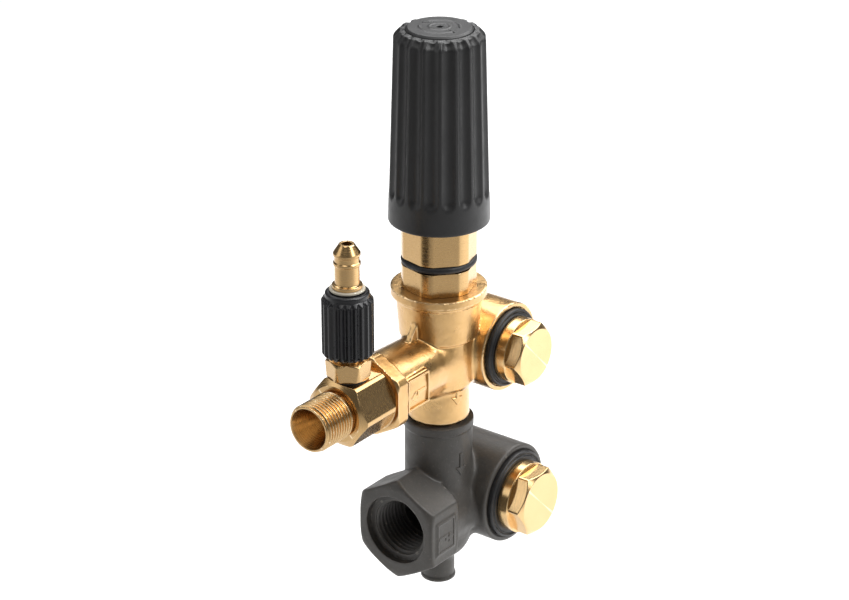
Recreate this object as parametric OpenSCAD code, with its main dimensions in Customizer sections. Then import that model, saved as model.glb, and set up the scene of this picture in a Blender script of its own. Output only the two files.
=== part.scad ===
// Pressure washer unloader valve with chemical injector, mounted by two banjo bolts.
// Built about the vertical barrel axis, outlet and inlet towards -Y, bolt heads towards +X.
// The whole part is then moved so that the row origin is the middle of the upper stud's free thread.

/* [Ports] */
// outlet thread outer radius (G 3/8 male), mm
outlet_r = 8.33; // [6.5:0.01:10.5]
// upper banjo bolt shank radius (G 3/8), mm
upper_shank_r = 8.33; // [6.5:0.01:10.5]
// lower banjo bolt shank radius (G 1/2), mm
lower_shank_r = 10.48; // [8:0.01:13]
// inlet threaded hole wall radius (G 1/2 minor), mm
inlet_bore_r = 9.32; // [7:0.01:12]
// height from the lower bolt axis to the upper one, mm
port_spacing = 56.3; // [50:0.1:70]
// distance from barrel axis to both bolt axes, mm
banjo_offset = 19.5; // [18:0.1:24]
// drop from the upper port axis to the inlet axis, mm
inlet_drop = 57.8; // [52:0.1:70]

/* [Upper body] */
// neck radius at the flange, mm
neck_r = 14.6; // [13:0.1:17]
// flange radius, mm
flange_r = 16.5; // [15:0.1:20]
// flange top height, mm
flange_z = 26.6; // [24:0.1:30]
// outlet branch radius at the collar, mm
branch_r = 12; // [10:0.1:13]
// branch collar across flats, mm
collar_af = 24; // [21:0.1:26]
// how far the collar's lower half is drawn down, mm
collar_drop = 1.9; // [0:0.1:3]
// upper banjo boss radius, mm
upper_boss_r = 15.8; // [14:0.1:18]
// upper boss front face, mm from the barrel axis
upper_face = 15.7; // [12:0.1:20]
// boss back face, mm from the barrel axis, both bosses
back_face = 14; // [12:0.1:16]

/* [Inlet housing] */
// housing barrel radius, mm
housing_r = 11.8; // [11:0.1:14]
// housing top height, mm
housing_z = -23.1; // [-30:0.1:-20]
// lower banjo boss radius, mm
lower_boss_r = 18; // [16:0.1:21]
// lower boss front face, mm from the barrel axis
lower_face = 18.8; // [15:0.1:22]
// inlet hexagon across flats, mm
inlet_af = 31.4; // [27:0.1:34]
// inlet front face, mm from the barrel axis
inlet_face = 25; // [20:0.1:30]
// bottom stub radius, mm
stub_r = 5.8; // [4:0.1:8]
// bottom of the stub, mm
stub_z = -86.8; // [-95:0.1:-78]

/* [Adjuster] */
// bonnet column across flats, mm
column_af = 24; // [22:0.1:27]
// bonnet corner turning radius, mm
column_r = 12.8; // [12:0.1:14]
// knob rim radius, mm
knob_r = 17.2; // [15:0.1:20]
// knob shoulder radius, mm
knob_top_r = 15.3; // [13:0.1:18]
// knob rim height, mm
knob_z = 50.6; // [48:0.1:56]
// knob shoulder height, mm
knob_top_z = 117.2; // [100:0.1:125]
// number of flutes round the knob
flutes = 18; // [12:1:24]
// radius of each flute cutter, mm
flute_r = 2.2; // [1:0.1:3]

/* [Injector] */
// injector body across flats, mm
injector_af = 22; // [18:0.1:24]
// injector valve distance from the barrel axis, mm
metering_y = 49.5; // [46:0.1:53]
// injector knob radius, mm
metering_r = 8.6; // [7:0.1:10]
// ribs round the injector knob
ribs = 22; // [12:1:30]
// hose barb ring radius, mm
barb_r = 4.5; // [4:0.1:6]

/* [Hidden] */
$fn = 64;
e = 0.01;
BY = banjo_offset;
LZ = -port_spacing;
IZ = -inlet_drop;
stud_u = 26;
stud_l = 22.5;
OX = 20.2;
brass = [0.80, 0.62, 0.36];
bright = [0.86, 0.70, 0.44];
black = [0.10, 0.10, 0.11];
smoke = [0.19, 0.18, 0.17];
rubber = [0.05, 0.05, 0.05];
steel = [0.66, 0.67, 0.69];
taper = atan((knob_r - knob_top_r) / (knob_top_z - knob_z));

module put() translate([OX, -BY, 0]) children();
// upright, forward (-Y) and sideways (+X) cylinders by their two ends
module zc(a, b, r, s = -1) translate([0, 0, a]) cylinder(h = b - a, r1 = r, r2 = s < 0 ? r : s);
module yc(a, b, r, s = -1, z = 0) translate([0, -a, z]) rotate([90, 0, 0]) cylinder(h = b - a, r1 = r, r2 = s < 0 ? r : s);
module xc(a, b, r, s = -1, z = 0) translate([a, BY, z]) rotate([0, 90, 0]) cylinder(h = b - a, r1 = r, r2 = s < 0 ? r : s);
module zhex(a, b, af, rot = 0) translate([0, 0, a]) rotate([0, 0, rot]) cylinder(h = b - a, r = af / sqrt(3), $fn = 6);
module yhex(a, b, af, z = 0, rot = 0) translate([0, -a, z]) rotate([90, 0, 0]) rotate([0, 0, rot]) cylinder(h = b - a, r = af / sqrt(3), $fn = 6);
module xhex(a, b, af, z = 0, rot = 0) translate([a, BY, z]) rotate([0, 90, 0]) rotate([0, 0, rot]) cylinder(h = b - a, r = af / sqrt(3), $fn = 6);
module zring(z, r, w) translate([0, 0, z]) rotate_extrude() translate([r, 0]) circle(r = w, $fn = 24);
module yring(y, r, w, z = 0) translate([0, -y, z]) rotate([90, 0, 0]) rotate_extrude() translate([r, 0]) circle(r = w, $fn = 24);
module xring(x, r, w, z = 0) translate([x, BY, z]) rotate([0, 90, 0]) rotate_extrude() translate([r, 0]) circle(r = w, $fn = 24);

// round wire wound on radius r from height a to b
module coil(a, b, r, w, turns, n = 20, m = 8) {
  k = ceil(turns * n);
  pts = [for (i = [0:k]) let(t = 360 * turns * i / k, h = a + w + (b - a - 2 * w) * i / k)
    for (j = [0:m - 1]) let(u = 360 * j / m, q = r + w * cos(u)) [q * cos(t), q * sin(t), h + w * sin(u)]];
  fcs = concat([[for (j = [m - 1:-1:0]) j]],
    [for (i = [0:k - 1]) for (j = [0:m - 1]) [i * m + j, i * m + (j + 1) % m, (i + 1) * m + (j + 1) % m, (i + 1) * m + j]],
    [[for (j = [0:m - 1]) k * m + j]]);
  polyhedron(points = pts, faces = [for (f = fcs) [for (i = [len(f) - 1:-1:0]) f[i]]], convexity = 10);
}

// ---------------------------------------------------------------- fixed body
module delivery_body() color(brass) put() difference() {
  union() {
    zc(7.9, 9.4, 12.2, 13.6);
    zc(9.4, 22.2, 13.6, neck_r);
    zc(22.2, 23.7, 15.4);
    zc(23.7, 24.2, flange_r - 0.5, flange_r);
    zc(24.2, flange_z - 0.5, flange_r);
    zc(flange_z - 0.5, flange_z, flange_r, flange_r - 0.5);
    zc(-8, 7.9, 11.8);
    yc(0, 33, branch_r - 1.3, branch_r);
    intersection() {
      union() { yhex(33, 38.35, collar_af, 0, 90); yhex(33, 38.35, collar_af, -collar_drop, 90); }
      union() {
        yc(33, 37.6, 13.2);
        yc(37.6, 38.35, 13.2, 12.4);
        yc(33, 37.6, 13.2, -1, -collar_drop);
        yc(37.6, 38.35, 13.2, 12.4, -collar_drop);
      }
    }
    // marking pad on the side of the branch
    translate([3, -33.2, -6.2]) cube([9.1, 12.4, 12.4]);
    // bolt boss and the web that carries it
    xc(-back_face, upper_face - 1, upper_boss_r);
    xc(upper_face - 1, upper_face, upper_boss_r, upper_boss_r - 0.5);
    translate([-10.5, 0, -9]) cube([21, 14, 18]);
    // front rib
    translate([-9.5, -15.5, 0]) cube([3, 8, 12]);
    zc(-21.9, -7, 10.7);
    zc(-38, -21.9, 8.8);
  }
  zc(-8, 13, 7);
  zc(13, flange_z + 1, 10);
  zc(-16, -7.9, 6.5);
  zc(-39, -15.9, 4.2);
  for (z = [-27, -33]) translate([0, 0, z - 1.3]) difference() { cylinder(h = 2.6, r = 10); translate([0, 0, -1]) cylinder(h = 5, r = 7.3); }
  xc(-back_face - 1, upper_face + 1, upper_shank_r + 0.27);
  xc(-5, 5, 10.6);
  xc(upper_face - 0.35, upper_face + 1, 14.1);
  translate([0, BY - 8, 0]) rotate([90, 0, 0]) cylinder(h = 9, r = 3.4);
  yc(5, 15.5, 4);
  yc(15, 19.5, 6.2);
  yc(19, 28.5, 7);
  yc(28, 39, 8.05);
  yc(36.9, 39, 9.95);
}

module inlet_body() color(smoke) put() difference() {
  union() {
    zc(-67, housing_z - 0.5, housing_r);
    zc(-26.2, housing_z - 0.5, housing_r + 0.4);
    zc(housing_z - 0.5, housing_z, housing_r + 0.4, housing_r - 0.1);
    translate([0, 0, -67]) sphere(r = housing_r);
    zc(stub_z + 1.5, -70, stub_r);
    zc(stub_z, stub_z + 1.5, stub_r + 0.4);
    xc(-back_face, lower_face - 1, lower_boss_r, -1, LZ);
    xc(lower_face - 1, lower_face, lower_boss_r, lower_boss_r - 0.8, LZ);
    translate([-11.8, 0, LZ - 15]) cube([23.6, 14, 30]);
    intersection() {
      union() { yhex(9, inlet_face, inlet_af, IZ + 0.8, 90); yhex(9, inlet_face, inlet_af, IZ - 1.2, 90); }
      union() { yc(8, inlet_face, 43.4, 16.2, IZ + 0.8); yc(8, inlet_face, 43.4, 16.2, IZ - 1.2); }
    }
    translate([6, -22.5, IZ - 6.8]) cube([10.3, 11, 13]);
    yc(0, 9.5, 14.6, -1, IZ);
    translate([8.5, 4, LZ - 2.2]) sphere(r = 7);
  }
  zc(-38.5, housing_z + 1, 8.9);
  zc(-64, -38, 7.2);
  xc(-back_face - 1, lower_face + 1, lower_shank_r + 0.27, -1, LZ);
  xc(-6, 6, 12.8, -1, LZ);
  xc(lower_face - 0.35, lower_face + 1, 16.2, -1, LZ);
  yc(0, 9.5, 8, -1, IZ);
  yc(9, inlet_face + 1, inlet_bore_r, -1, IZ);
  yc(inlet_face - 2.6, inlet_face, inlet_bore_r, 12.4, IZ);
  yc(inlet_face - e, inlet_face + 1, 12.4, -1, IZ);
}

module bonnet() color(bright) put() difference() {
  union() {
    zc(15.1, flange_z + 0.1, 9.95);
    intersection() {
      zhex(flange_z + 0.1, 71, column_af, -72.5);
      union() { zc(flange_z + 0.1, 66, column_r); zc(66, 71, column_r, 9.5); }
    }
  }
  zc(14, 18.6, 7.45);
  zc(18, 29, 5);
  zc(28.5, 63.5, 9);
  zc(63, 72, 6.05);
  translate([0, 0, 36.4 - 1.3]) difference() { cylinder(h = 2.6, r = 16); translate([0, 0, -1]) cylinder(h = 5, r = 10.9); }
}
module bonnet_ring() color(rubber) put() translate([0, 0, 36.4]) rotate_extrude() translate([11.95, 0]) circle(r = 1.04, $fn = 24);
module bonnet_seal() color(rubber) put() difference() { zc(13.05, 15.05, 9.9); zc(12, 16, 9.0); }
module rod_guide() color(bright) put() difference() { union() { zc(8, 13.02, 6.95); zc(13.02, 15.05, 8.9); } zc(7, 16, 4.55); }
module rod_seal() color(rubber) put() difference() { zc(15.15, 17.4, 7.4); zc(15, 18, 4.58); }
module backup_ring() color([0.85, 0.85, 0.8]) put() difference() { zc(17.45, 18.5, 7.4); zc(17, 19, 4.58); }
module valve_seat() color(steel) put() difference() {
  zc(-15.95, -8.5, 6.45);
  zc(-17, -7, 2.4);
  zc(-9.3, -8.4, 2.4, 3.3);
  translate([0, 0, -13.5]) difference() { cylinder(h = 2.4, r = 8); translate([0, 0, -1]) cylinder(h = 5, r = 4.9); }
}
module seat_ring() color(rubber) put() zring(-12.3, 5.66, 0.74);
module spigot_ring_upper() color(rubber) put() zring(-27, 8.1, 0.76);
module spigot_ring_lower() color(rubber) put() zring(-33, 8.1, 0.76);

// hollow cross-drilled bolt, head towards +X
module banjo(face, shank, stud, af, headr, frontr, hexh, rot, z) difference() {
  union() {
    xc(face + 1.95, face + 6, headr, -1, z);
    intersection() {
      xhex(face + 6, face + 6 + hexh, af, z, rot);
      xc(face + 6, face + 6 + hexh, frontr + (af / sqrt(3) - frontr) * hexh / 1.35, frontr, z);
    }
    xc(-stud + 1.2, -15.6, shank, -1, z);
    xc(-stud, -stud + 1.2, shank - 1.1, shank, z);
    xc(-15.6, face - 3, shank - 1.2, -1, z);
    xc(face - 3, face + 2.0, shank, -1, z);
  }
  xc(-stud - 1, 6, shank * 0.54, -1, z);
  translate([0, BY, z]) cylinder(h = 40, r = shank * 0.36, center = true);
  translate([0, BY, z]) rotate([90, 0, 0]) cylinder(h = 40, r = shank * 0.36, center = true);
}
module delivery_bolt() color(bright) put() banjo(upper_face, upper_shank_r, stud_u, 19.8, 11.6, 9.4, 5.5, 36, 0);
module suction_bolt() color(bright) put() banjo(lower_face, lower_shank_r, stud_l, 21.8, 12.9, 10.5, 5.6, 30, LZ);
module delivery_head_seal() color(rubber) put() difference() {
  union() { xring(upper_face + 0.8, 12.75, 1.1); xc(upper_face - 0.3, upper_face + 1.9, 12.4); }
  xc(upper_face - 1, upper_face + 3, upper_shank_r + 0.1);
}
module suction_head_seal() color(rubber) put() difference() {
  union() { xring(lower_face + 0.8, 14.7, 1.1, LZ); xc(lower_face - 0.3, lower_face + 1.9, 14.3, -1, LZ); }
  xc(lower_face - 1, lower_face + 3, lower_shank_r + 0.1, -1, LZ);
}
module delivery_back_seal() color(rubber) put() difference() { xc(-15.5, -back_face - 0.02, 12.5); xc(-16, -13, upper_shank_r + 0.1); }
module suction_back_seal() color(rubber) put() difference() { xc(-15.5, -back_face - 0.02, 15, -1, LZ); xc(-16, -13, lower_shank_r + 0.1, -1, LZ); }

// ------------------------------------------------------- outlet check valve
module check_seat() color(steel) put() difference() {
  yc(15.05, 19, 6.15);
  yc(14, 20, 3.2);
  difference() { yc(16.2, 18, 8); yc(16, 19, 5.1); }
}
module check_seat_ring() color(rubber) put() yring(17.1, 5.62, 0.5);
module poppet_guide() color(steel) put() difference() {
  yc(32, 34, 4.95);
  yc(31, 35, 2.25);
  for (a = [0:90:270]) translate([0, -31, 0]) rotate([90, a, 0]) translate([3.6, 0, 0]) cylinder(h = 4, r = 0.9);
}
module check_poppet() color(steel) put() union() {
  yc(17.6, 19.05, 2.8);
  yc(19.05, 21.05, 5.6);
  yc(21.05, 36, 2.2);
}
module check_spring() color(steel) put() translate([0, -21.1, 0]) rotate([90, 0, 0]) coil(0, 10.85, 3.5, 0.4, 6);

// ---------------------------------------------------------------- injector
module injector_body() color(brass) put() difference() {
  union() {
    yc(28.5, 36.9, 7.98);
    yc(36.9, 41, 8.4);
    intersection() {
      yhex(40, 56.5, injector_af, 0, 0);
      union() { yc(40, 54.9, 12.27); yc(54.9, 56.5, 12.27, 9.8); }
    }
    yc(56, 57.6, 7.2);
    yc(57.5, 69.4, outlet_r);
    yc(69.4, 70.5, outlet_r, 7.7);
  }
  translate([0, -metering_y, 0]) zc(10.05, 14, 6.6);
  yc(28, 42, 5);
  yc(41, 50.5, 4);
  yc(50, 58.5, 2.2);
  yc(58, 70.5, 2.2, 7.2);
  yc(70.5 - e, 71, 7.2);
  translate([0, -metering_y, 0]) { cylinder(h = 12, r = 2.4); translate([0, 0, 5]) cylinder(h = 8, r = 4.95); }
}
module injector_washer() color(bright) put() difference() { yc(38.4, 39.9, 11); yc(38, 41, 8.5); }
module injector_ring() color(rubber) put() yring(37.65, 9.2, 0.7);
module venturi_nozzle() color(steel) put() difference() {
  union() { yc(41.5, 48, 3.95); yc(40.6, 41.97, 4.9); }
  yc(40, 43.5, 3, 3);
  yc(43.4, 46, 3, 1.1);
  yc(45.9, 49, 1.1);
}
module nozzle_ring() color(rubber) put() yring(39.9, 4.25, 0.65);
module metering_base() color(bright) put() translate([0, -metering_y, 0]) difference() {
  union() {
    zc(5.6, 11.7, 4.9);
    intersection() { zhex(11.7, 17.8, 13.3, -84); union() { zc(11.7, 16.8, 7.7); zc(16.8, 17.8, 7.7, 6.7); } }
    zc(17.8, 39.2, 5);
  }
  zc(5, 13, 2.7);
  zc(12, 40, 1.5);
  zc(34, 40, 4.1);
}
module metering_seal() color(rubber) put() translate([0, -metering_y, 0]) difference() { zc(10.05, 11.65, 6.2); zc(9, 12, 4.95); }
module ball_clip() color(steel) put() translate([0, -metering_y, 0]) difference() { zc(5.65, 6.2, 2.68); zc(5, 7, 1.2); }
module suction_spring() color(steel) put() translate([0, -metering_y, 0]) coil(6.22, 9.6, 1.75, 0.22, 5, 16, 6);
module suction_ball() color(steel) put() translate([0, -metering_y, 11.36]) sphere(r = 2.2);
module hose_barb() color(bright) put() translate([0, -metering_y, 0]) difference() {
  union() {
    zc(34.1, 43.2, 4.05);
    zc(43.2, 44.4, 5);
    zc(44.4, 56, 4.05);
    zc(51.2, 52.2, 4.1, barb_r); zc(52.2, 52.6, barb_r, 4.1);
    zc(54.4, 55.4, barb_r); zc(55.4, 58.4, barb_r, 2.7);
  }
  zc(34, 59, 1.65);
}
module barb_ring() color([0.75, 0.72, 0.64]) put() translate([0, -metering_y, 0]) difference() { zc(42.35, 43.15, 5.9); zc(42, 44, 4.1); }
module metering_knob() color(black) put() translate([0, -metering_y, 0]) difference() {
  union() {
    zc(19.3, 20.1, metering_r - 0.8, metering_r);
    zc(20.1, 39.2, metering_r);
    zc(39.2, 40.2, metering_r, 7.6);
    zc(40.2, 41.5, 7.3);
    zc(41.5, 42, 7.3, 6.8);
  }
  zc(19, 36.5, 7.02);
  zc(36, 40, 5.4);
  zc(39, 43, 4.45);
  for (i = [0:ribs - 1]) rotate([0, 0, i * 360 / ribs]) translate([metering_r + 0.35, 0, 21.5]) cylinder(h = 16.5, r = 0.85, $fn = 24);
}
module throttle_sleeve() color(bright) put() translate([0, -metering_y, 0]) difference() { zc(19.6, 36.2, 7.0); zc(19, 37, 5.05); }

// ---------------------------------------------------------------- adjuster
module main_spring() color(steel) put() coil(33.02, 55.48, 7.1, 1.2, 5.5, 20, 8);
module upper_spring_plate() color(steel) put() difference() { union() { zc(55.5, 58.5, 8.7); zc(52.5, 55.5, 5.2, 5.5); } zc(57, 59, 4.4); }
module spindle() color(bright) put() union() { zc(57.05, 60.5, 4.1); zc(60.5, 78, 6); zc(78, 98, 4.9); }
module knob_insert() color(bright) put() difference() { zhex(78.02, 90, 15, 0); zc(77, 91, 4.93); }
module knob_nut() color(steel) put() difference() { zhex(92.1, 97, 13, 0); zc(91, 99, 4.93); }
module adjusting_knob() color(black) put() difference() {
  union() {
    zc(knob_z, knob_z + 0.8, knob_r - 0.6, knob_r);
    zc(knob_z + 0.8, knob_top_z - 2.2, knob_r, knob_top_r);
    zc(knob_top_z - 2.2, knob_top_z - 0.7, knob_top_r, knob_top_r - 0.9);
    zc(knob_top_z - 0.7, knob_top_z, knob_top_r - 0.9, knob_top_r - 2.2);
  }
  zc(knob_z - 1, 77.6, 13.4);
  zhex(77, 90.1, 15.1, 0);
  zc(90, 93, 5.2);
  zc(92, 112, 8.2);
  zc(111.99, knob_top_z + 1, 11.3);
  for (i = [0:flutes - 1]) rotate([0, 0, i * 360 / flutes - 2.5]) translate([knob_r + 1.2, 0, knob_z + 9.6]) rotate([0, -taper, 0]) cylinder(h = 55, r = flute_r, $fn = 24);
}
module knob_cap() color(black) put() difference() {
  union() { zc(104, 112.1, 8.15); zc(112.03, 117.2, 11.2); zc(117.2, 118.1, 11.2, 10.3); }
  zc(103, 110, 6.6);
  zc(116.6, 119, 0.9);
}
module piston_rod() color(steel) put() union() { zc(-6.2, 4, 2.2); zc(4, 30, 4.5); zc(30, 38.5, 3); }
module lower_spring_plate() color(steel) put() difference() { zc(30.02, 33, 8.7); zc(29, 34, 3.03); }
module plate_nut() color(steel) put() difference() { zhex(33.05, 36.5, 9, 0); zc(32, 38, 3.03); }
module shutter_ball() color(steel) put() difference() { translate([0, 0, -6.65]) sphere(r = 3.1); zc(-6.25, -3, 2.25); }

delivery_body();
inlet_body();
bonnet();
bonnet_ring();
bonnet_seal();
rod_guide();
rod_seal();
backup_ring();
valve_seat();
seat_ring();
spigot_ring_upper();
spigot_ring_lower();
delivery_bolt();
delivery_head_seal();
delivery_back_seal();
suction_bolt();
suction_head_seal();
suction_back_seal();
check_seat();
check_seat_ring();
check_spring();
poppet_guide();
injector_body();
injector_washer();
injector_ring();
venturi_nozzle();
nozzle_ring();
metering_base();
metering_seal();
ball_clip();
suction_spring();
hose_barb();
barb_ring();
main_spring();
upper_spring_plate();
adjusting_knob();
knob_cap();
spindle();
knob_insert();
knob_nut();
piston_rod();
lower_spring_plate();
plate_nut();
shutter_ball();
check_poppet();
suction_ball();
metering_knob();
throttle_sleeve();
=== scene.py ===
import math

import bpy
import numpy as np
from mathutils import Matrix, Vector


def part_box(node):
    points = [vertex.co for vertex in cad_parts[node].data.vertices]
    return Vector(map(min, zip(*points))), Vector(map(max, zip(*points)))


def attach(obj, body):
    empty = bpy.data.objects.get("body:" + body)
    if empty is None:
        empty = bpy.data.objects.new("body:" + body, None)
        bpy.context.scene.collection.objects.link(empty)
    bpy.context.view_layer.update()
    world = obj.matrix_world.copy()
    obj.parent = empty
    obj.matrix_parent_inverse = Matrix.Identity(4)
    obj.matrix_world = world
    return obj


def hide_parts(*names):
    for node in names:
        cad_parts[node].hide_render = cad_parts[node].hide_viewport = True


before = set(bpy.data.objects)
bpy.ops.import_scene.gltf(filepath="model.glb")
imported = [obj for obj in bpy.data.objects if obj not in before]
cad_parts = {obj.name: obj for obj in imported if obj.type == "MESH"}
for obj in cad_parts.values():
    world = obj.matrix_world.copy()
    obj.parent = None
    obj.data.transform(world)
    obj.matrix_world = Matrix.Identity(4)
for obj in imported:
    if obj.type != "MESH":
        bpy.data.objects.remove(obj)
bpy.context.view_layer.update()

# ------------------------------------------------------------------ placing
# lengths below are in mm, measured from the barrel axis at the height of the upper bolt
MM = 0.001
_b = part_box("bonnet")
_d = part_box("delivery_body")
AX = (_b[0][0] + _b[1][0]) / 2
AY = (_b[0][1] + _b[1][1]) / 2
AZ = _d[1][2] - 26.6 * MM
BY, LZ, IZ, MY = 19.5, -56.3, -57.8, 49.5


def at(x, y, z):
    return Vector((AX + x * MM, AY + y * MM, AZ + z * MM))


def frame_z(x=0, y=0, z=0):
    return Matrix.Translation(at(x, y, z))


def frame_y(z=0):
    """local z runs towards the outlet (-Y), local x is +X, local y is +Z"""
    m = Matrix(((1, 0, 0, 0), (0, 0, -1, 0), (0, 1, 0, 0), (0, 0, 0, 1)))
    return Matrix.Translation(at(0, 0, z)) @ m


def frame_x(z=0):
    """local z runs towards the bolt heads (+X), local x is +Y, local y is +Z"""
    m = Matrix(((0, 0, 1, 0), (1, 0, 0, 0), (0, 1, 0, 0), (0, 0, 0, 1)))
    return Matrix.Translation(at(0, BY, z)) @ m


def build(name, V, F, place, body, nodes, mat, smooth=32, soft=None):
    """V in mm in the piece's own frame; soft = (t0, t1) keeps thread flanks free of sharp edges"""
    me = bpy.data.meshes.new(name)
    me.from_pydata((np.asarray(V, float) * MM).tolist(), [], F)
    me.validate()
    me.update()
    me.shade_smooth()
    if smooth < 180:
        me.set_sharp_from_angle(angle=math.radians(smooth))
    if soft and "sharp_edge" in me.attributes:
        ev = np.zeros(len(me.edges) * 2, np.int32)
        me.edges.foreach_get("vertices", ev)
        co = np.zeros(len(me.vertices) * 3, np.float32)
        me.vertices.foreach_get("co", co)
        z = co.reshape(-1, 3)[:, 2][ev.reshape(-1, 2)] / MM
        sh = np.zeros(len(me.edges), bool)
        me.attributes["sharp_edge"].data.foreach_get("value", sh)
        sh &= ~((z.min(1) > soft[0]) & (z.max(1) < soft[1]))
        me.attributes["sharp_edge"].data.foreach_set("value", sh)
    o = bpy.data.objects.new(name, me)
    bpy.context.scene.collection.objects.link(o)
    o.matrix_world = place
    me.materials.append(mat)
    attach(o, body)
    if nodes:
        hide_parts(*nodes)
    return o


# ------------------------------------------------------------------ profiles
def corner(a, b, c, rad, n):
    a, b, c = (np.array(v[:2], float) for v in (a, b, c))
    u, v = a - b, c - b
    lu, lv = np.hypot(*u), np.hypot(*v)
    u, v = u / lu, v / lv
    ang = math.acos(max(-1, min(1, float(u @ v))))
    if ang > math.pi - 1e-3:
        return [tuple(b)]
    L = min(rad / math.tan(ang / 2), lu * 0.48, lv * 0.48)
    rr = L * math.tan(ang / 2)
    w = (u + v) / np.hypot(*(u + v))
    o = b + w * (rr / math.sin(ang / 2))
    p, q = b + u * L - o, b + v * L - o
    a0 = math.atan2(p[1], p[0])
    da = (math.atan2(q[1], q[0]) - a0 + math.pi) % (2 * math.pi) - math.pi
    return [(o[0] + rr * math.cos(a0 + da * k / n), o[1] + rr * math.sin(a0 + da * k / n)) for k in range(n + 1)]


def outline(pts, step=1.5, n=5, loop=True):
    """(t, r, rounding) corners to a dense list of (t, r)"""
    m = len(pts)
    out = []
    for i, p in enumerate(pts):
        rad = p[2] if len(p) > 2 else 0
        if rad <= 0 or (not loop and i in (0, m - 1)):
            out.append((float(p[0]), float(p[1])))
        else:
            out += corner(pts[i - 1], p, pts[(i + 1) % m], rad, n)
    res = []
    k = len(out)
    for i in range(k if loop else k - 1):
        a, b = np.array(out[i]), np.array(out[(i + 1) % k])
        d = np.hypot(*(b - a))
        if d < 1e-6:
            continue
        s = max(1, int(math.ceil(d / step)))
        for j in range(s):
            res.append(tuple(a + (b - a) * j / s))
    if not loop:
        res.append(out[-1])
    return np.array(res)


def spin(prof, n=180, fn=None, loop=True):
    """a profile of (t, r) turned round local z; fn(th, T, R, NT, NR) may shape it. loop: the profile closes on itself"""
    prof = np.asarray(prof, float)
    m = len(prof)
    th = np.arange(n) * 2 * math.pi / n
    T = np.repeat(prof[:, :1], n, 1)
    R = np.repeat(prof[:, 1:2], n, 1)
    if loop:
        d = np.roll(prof, -1, 0) - np.roll(prof, 1, 0)
    else:
        d = np.gradient(prof, axis=0)
    ln = np.hypot(d[:, 0], d[:, 1]) + 1e-12
    NT, NR = (-d[:, 1] / ln)[:, None], (d[:, 0] / ln)[:, None]
    if fn:
        T, R = fn(th[None, :], T, R, NT, NR)
    V = np.stack([R * np.cos(th), R * np.sin(th), T], -1)
    F = []
    if loop:
        idx = np.arange(m * n).reshape(m, n)
        a = idx
        b = np.roll(idx, -1, 1)
        d2 = np.roll(idx, -1, 0)
        c = np.roll(b, -1, 0)
        F = np.stack([a, b, c, d2], -1).reshape(-1, 4).tolist()
        return V.reshape(-1, 3), F
    # open profile that starts and ends on the axis
    core = V[1:-1]
    mm = m - 2
    idx = np.arange(mm * n).reshape(mm, n)
    a, b = idx[:-1], np.roll(idx, -1, 1)[:-1]
    d2, c = idx[1:], np.roll(idx, -1, 1)[1:]
    F = np.stack([a, b, c, d2], -1).reshape(-1, 4).tolist()
    P = np.concatenate([core.reshape(-1, 3), [[0, 0, prof[0, 0]]], [[0, 0, prof[-1, 0]]]])
    s, e = mm * n, mm * n + 1
    F += [[s, int(idx[0, (j + 1) % n]), int(idx[0, j])] for j in range(n)]
    F += [[e, int(idx[-1, j]), int(idx[-1, (j + 1) % n])] for j in range(n)]
    return P, F


def hexr(th, af, c0):
    a = np.mod(th - math.radians(c0), math.pi / 3)
    return af / 2 / np.cos(a - math.pi / 6)


def smin(a, b, k):
    h = np.maximum(k - np.abs(a - b), 0) / k
    return np.minimum(a, b) - h * h * k / 4


def smax(a, b, k):
    return -smin(-a, -b, k)


def hex_between(af, c0, t0, t1, k=0.12):
    """outer surface becomes a hexagon between t0 and t1, capped by the turned profile"""

    def fn(th, T, R, NT, NR):
        h = hexr(th, af, c0)
        on = (T > t0) & (T < t1) & (R > af * 0.35)
        return T, np.where(on, smin(h + 0 * R, R, k), R)

    return fn


def thread(R, T, th, t0, t1, pitch, depth, sign=-1, lead=0.9, tail=0.9, where=None):
    """right-hand round-crested thread cut into R between t0 and t1"""
    p = np.mod(T / pitch - th / (2 * math.pi), 1.0)
    s = np.abs(2 * p - 1)
    g = np.clip((s - 0.16) / 0.68, 0, 1)
    g = g * g * (3 - 2 * g) * 0.45 + g * 0.55
    f = np.clip((T - t0) / lead, 0, 1) * np.clip((t1 - T) / tail, 0, 1)
    cut = depth * g * np.minimum(1, f * 1.3)
    on = (T > t0) & (T < t1)
    if where is not None:
        on &= where
    return np.where(on, R + sign * cut, R)


# ------------------------------------------------------------------ distance fields for the cast and moulded bodies
def cyl(P, ax, c, r, a, b, rd=0.0, r2=None):
    t = P[ax] if ax != 1 else -P[1]
    u, v = [P[i] for i in range(3) if i != ax]
    q = np.sqrt((u - c[0]) ** 2 + (v - c[1]) ** 2)
    if r2 is None:
        q = q - r + rd
    else:
        sl = (r2 - r) / (b - a)
        q = (q - (r + sl * (t - a))) / math.sqrt(1 + sl * sl) + rd
    w = np.maximum(a + rd - t, t - (b - rd))
    return np.minimum(np.maximum(q, w), 0) + np.hypot(np.maximum(q, 0), np.maximum(w, 0)) - rd


def block(P, lo, hi, rd=0.0):
    q = [np.abs(P[i] - (lo[i] + hi[i]) / 2) - (hi[i] - lo[i]) / 2 + rd for i in range(3)]
    out = np.sqrt(sum(np.maximum(v, 0) ** 2 for v in q))
    return out + np.minimum(np.maximum(np.maximum(q[0], q[1]), q[2]), 0) - rd


def ball(P, c, r):
    return np.sqrt((P[0] - c[0]) ** 2 + (P[1] - c[1]) ** 2 + (P[2] - c[2]) ** 2) - r


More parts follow.
